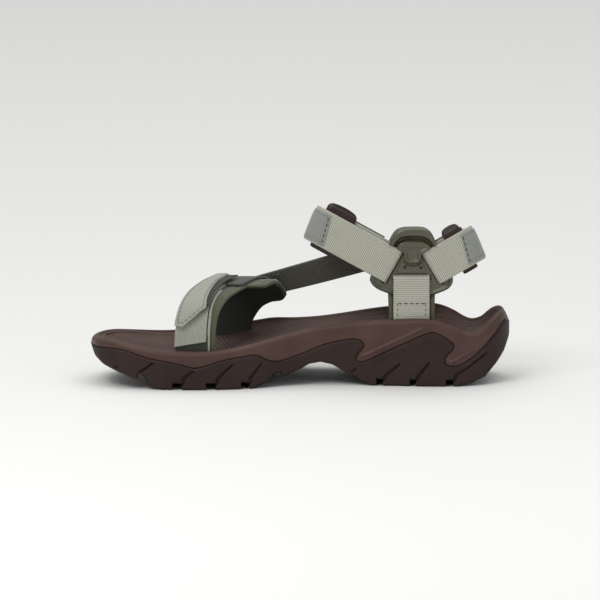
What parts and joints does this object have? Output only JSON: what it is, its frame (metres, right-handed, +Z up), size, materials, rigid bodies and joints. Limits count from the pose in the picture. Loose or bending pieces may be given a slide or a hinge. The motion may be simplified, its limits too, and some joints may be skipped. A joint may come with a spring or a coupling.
{
  "type": "strappy sport sandal",
  "caption": "Right-foot sport sandal: moulded treaded sole with footbed, a hook-and-loop forefoot strap and a padded ankle collar of webbing loops held by moulded side stays",
  "frame": {"origin": "middle of the bounding box at ground level, under the sole", "axes": "+X toward the heel (the toe is at -X), -Y is the medial side of the foot, +Y the lateral side, +Z up"},
  "size_m": [0.291, 0.1084, 0.1244],
  "materials": {
    "outsole_rubber": "moulded, fine matt grain",
    "midsole_foam": "moulded foam, satin",
    "footbed_rubber": "moulded, ridged, matt",
    "shank_plastic": "moulded nylon",
    "cushion_foam": "soft foam",
    "webbing": "ribbed webbing",
    "dark_webbing": "ribbed webbing, dark",
    "overlay": "smooth coated fabric, stitched",
    "end_patch": "smooth coated fabric, stitched",
    "liner_fabric": "brushed knit over foam",
    "pile": "hook and loop pile",
    "stay_plastic": "moulded, satin",
    "keeper_plastic": "moulded, satin"
  },
  "bodies": {
    "shoe": {"outsole": "outsole_rubber", "midsole": "midsole_foam", "footbed": "footbed_rubber", "shank": "shank_plastic", "heel_cushion": "cushion_foam", "forefoot_medial_liner": "liner_fabric", "forefoot_lateral_liner": "liner_fabric", "forefoot_medial_webbing": "webbing", "forefoot_lateral_webbing": "dark_webbing", "forefoot_loop_strip": "pile", "medial_stay": "stay_plastic", "lateral_stay": "stay_plastic", "medial_base_webbing": "webbing", "lateral_base_webbing": "webbing", "medial_base_backing": "liner_fabric", "lateral_base_backing": "liner_fabric", "instep_webbing": "webbing", "instep_pad": "liner_fabric", "instep_loop_strip": "pile", "heel_webbing": "webbing", "heel_pad": "liner_fabric", "heel_loop_strip": "pile", "connector_strap": "dark_webbing"},
    "forefoot_flap_body": {"forefoot_flap": "overlay", "forefoot_flap_hook": "pile"},
    "instep_tab_body": {"instep_tab": "webbing", "instep_tab_patch": "end_patch", "instep_tab_hook": "pile"},
    "heel_tab_body": {"heel_tab": "webbing", "heel_tab_patch": "end_patch", "heel_tab_hook": "pile"},
    "instep_keeper_body": {"instep_keeper": "keeper_plastic"},
    "heel_keeper_body": {"heel_keeper": "keeper_plastic"}
  },
  "joints": [
    {"name": "forefoot_flap_peel", "type": "hinge", "parent": "shoe", "child": "forefoot_flap_body", "pos_m": [-0.0472, 0.0072, 0.0711], "axis": [-1, 0, 0], "range_deg": [0, 100]},
    {"name": "instep_tab_peel", "type": "hinge", "parent": "shoe", "child": "instep_tab_body", "pos_m": [0.0625, -0.0302, 0.08403], "axis": [0.4833, 0, 0.8755], "range_deg": [0, 105]},
    {"name": "heel_tab_peel", "type": "hinge", "parent": "shoe", "child": "heel_tab_body", "pos_m": [0.093, -0.0302, 0.08303], "axis": [0.5, 0, -0.866], "range_deg": [0, 95]},
    {"name": "instep_keeper_slide", "type": "slide", "parent": "shoe", "child": "instep_keeper_body", "axis": [0.8755, 0, -0.4833], "range_m": [0, 0.012]},
    {"name": "heel_keeper_slide", "type": "slide", "parent": "shoe", "child": "heel_keeper_body", "axis": [-0.866, 0, -0.5], "range_m": [0, 0.002]}
  ]
}
